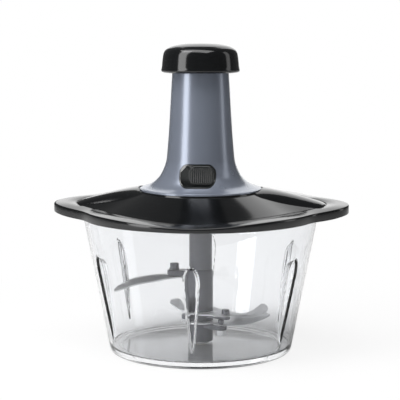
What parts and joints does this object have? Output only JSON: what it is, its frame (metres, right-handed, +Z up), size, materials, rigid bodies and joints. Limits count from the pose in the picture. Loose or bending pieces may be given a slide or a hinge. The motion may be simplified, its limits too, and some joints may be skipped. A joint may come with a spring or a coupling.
{
  "type": "vegetable chopper",
  "caption": "Hand-press vegetable chopper: pushing the cap turns a twisted rod, which spins a stem of curved blades in a clear bowl; a slide lock holds the cap down.",
  "frame": {"origin": "centre of the bowl's resting face, on the surface that the chopper stands on", "axes": "+Z up along the stem, -Y towards the lock button's side, X along the lid's two ears"},
  "size_m": [0.2386, 0.1918, 0.2481],
  "materials": {
    "clear": "clear, polished",
    "black": "black, high gloss",
    "tower": "blue-grey, half gloss",
    "stem": "grey, satin",
    "steel": "stainless",
    "brass": "turned",
    "nylon": "natural",
    "silicone": "soft, translucent look"
  },
  "bodies": {
    "bowl_body": {"bowl": "clear", "centre_pin": "steel"},
    "blade_set": {"stem_tube": "stem", "blade_sleeve": "stem", "stem_bush": "brass", "upper_blade": "steel", "middle_blade": "steel", "lower_blade": "steel", "upper_peg": "stem", "middle_peg": "stem", "lower_peg": "stem", "lower_nut": "steel", "tail_peg": "stem"},
    "lid_body": {"lid": "black", "lid_seal": "silicone", "tower_shell": "tower", "guide_sleeve": "nylon", "guide_bush": "black", "base_plate": "stem", "rod_bush": "brass", "hub_cup": "black", "output_bush": "brass", "output_seal": "silicone", "lock_tray": "black", "tower_screw_1": "steel", "tower_screw_2": "steel", "tower_screw_3": "steel"},
    "plunger": {"push_cap": "black", "plunger_tube": "tower", "drive_nut": "nylon", "cap_screw": "steel", "return_spring": "steel"},
    "rod": {"drive_rod": "steel", "spring_seat": "nylon", "clutch_driver": "nylon", "clutch_spring": "steel", "rod_circlip": "steel"},
    "coupling": {"output_coupling": "stem"},
    "lock": {"lock_button": "black", "latch_bar": "nylon", "latch_screw": "steel"}
  },
  "joints": [
    {"name": "lid_lift", "type": "slide", "parent": "bowl_body", "child": "lid_body", "axis": [0, 0, 1], "range_m": [0, 0.12]},
    {"name": "knob_slide", "type": "slide", "parent": "lid_body", "child": "plunger", "axis": [0, 0, 1], "range_m": [0, 0.045], "deforming": ["return_spring"]},
    {"name": "lock_slide", "type": "slide", "parent": "lid_body", "child": "lock", "axis": [1, 0, 0], "range_m": [-0.0064, 0]},
    {"name": "rod_turn", "type": "hinge", "parent": "lid_body", "child": "rod", "pos_m": [0, 0, 0.17], "axis": [0, 0, 1], "range_deg": [-1, 541]},
    {"name": "coupling_turn", "type": "hinge", "parent": "lid_body", "child": "coupling", "pos_m": [0, 0, 0.11], "axis": [0, 0, 1], "range_deg": [-1, 541]},
    {"name": "blade_turn", "type": "hinge", "parent": "bowl_body", "child": "blade_set", "pos_m": [0, 0, 0.06], "axis": [0, 0, 1], "range_deg": [-1, 541]}
  ],
  "couplings": [
    {"joint": "rod_turn", "follows": "knob_slide", "rad_per_m": 209.44},
    {"joint": "coupling_turn", "follows": "knob_slide", "rad_per_m": 209.44},
    {"joint": "blade_turn", "follows": "knob_slide", "rad_per_m": 209.44}
  ]
}
